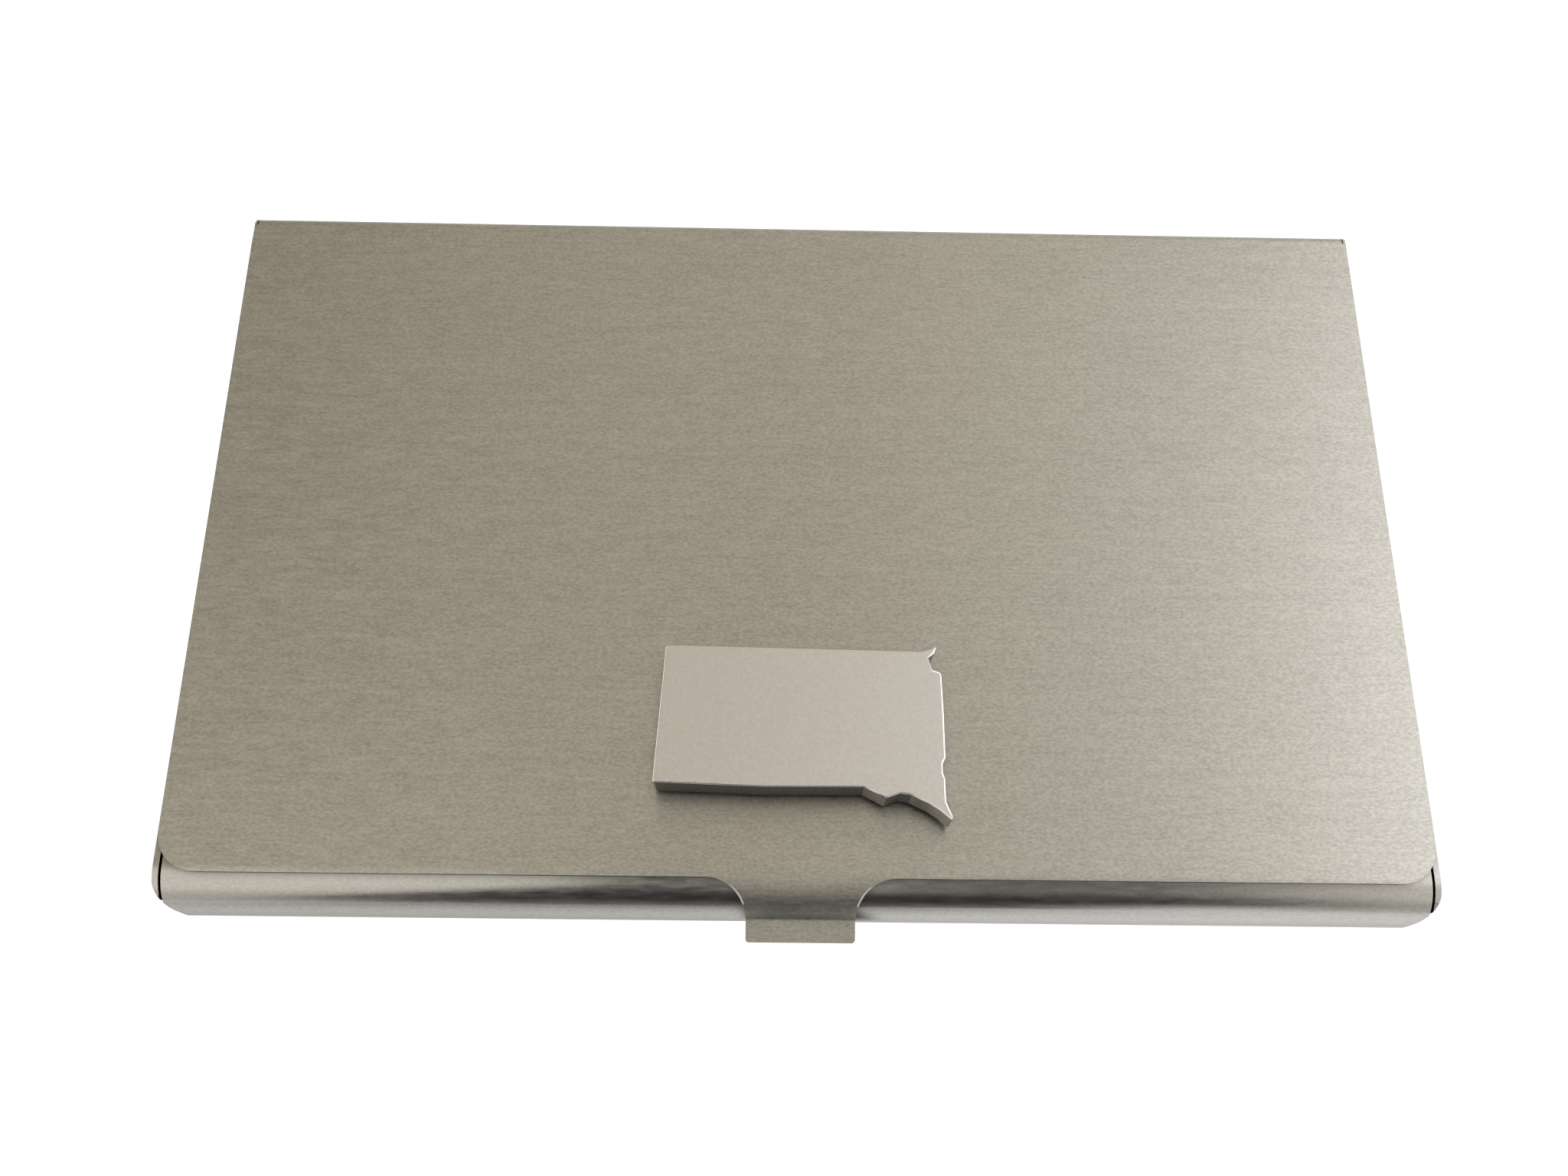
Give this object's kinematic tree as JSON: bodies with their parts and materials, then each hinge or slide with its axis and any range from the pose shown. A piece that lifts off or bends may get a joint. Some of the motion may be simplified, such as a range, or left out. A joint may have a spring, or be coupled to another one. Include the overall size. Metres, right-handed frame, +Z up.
{
  "type": "business card case",
  "caption": "Flat hinged metal card case: brushed lid with a thumb tab and map-outline badge, base with a half-round front roll, and an inner lifter that tilts the cards up.",
  "frame": {"origin": "middle of the underside, on the surface that the case lies on", "axes": "+X across the width to the right, -Y towards the thumb tab, +Z up out of the lid"},
  "size_m": [0.0946, 0.06, 0.0105],
  "materials": {
    "brushed_sheet": "fine straight brushing along the width",
    "bright_steel": "bright turned steel",
    "lifter_sheet": "plain rolled spring sheet",
    "badge_plate": "satin face with polished edges",
    "adhesive": "black foam pad"
  },
  "bodies": {
    "base": {"base_tray": "brushed_sheet", "left_hinge_rivet": "bright_steel", "right_hinge_rivet": "bright_steel", "left_pivot_washer": "bright_steel", "right_pivot_washer": "bright_steel"},
    "lid": {"lid": "brushed_sheet", "badge": "badge_plate", "badge_adhesive": "adhesive"},
    "lifter": {"card_lifter": "lifter_sheet"}
  },
  "joints": [
    {"name": "lid_hinge", "type": "hinge", "parent": "base", "child": "lid", "pos_m": [0, 0.02715, 0.0035], "axis": [-1, 0, 0], "range_deg": [0, 100]},
    {"name": "lifter_hinge", "type": "hinge", "parent": "base", "child": "lifter", "pos_m": [0, 0.02715, 0.0035], "axis": [-1, 0, 0], "range_deg": [0, 25]}
  ],
  "couplings": [
    {"joint": "lifter_hinge", "follows": "lid_hinge", "ratio": 0.25}
  ]
}
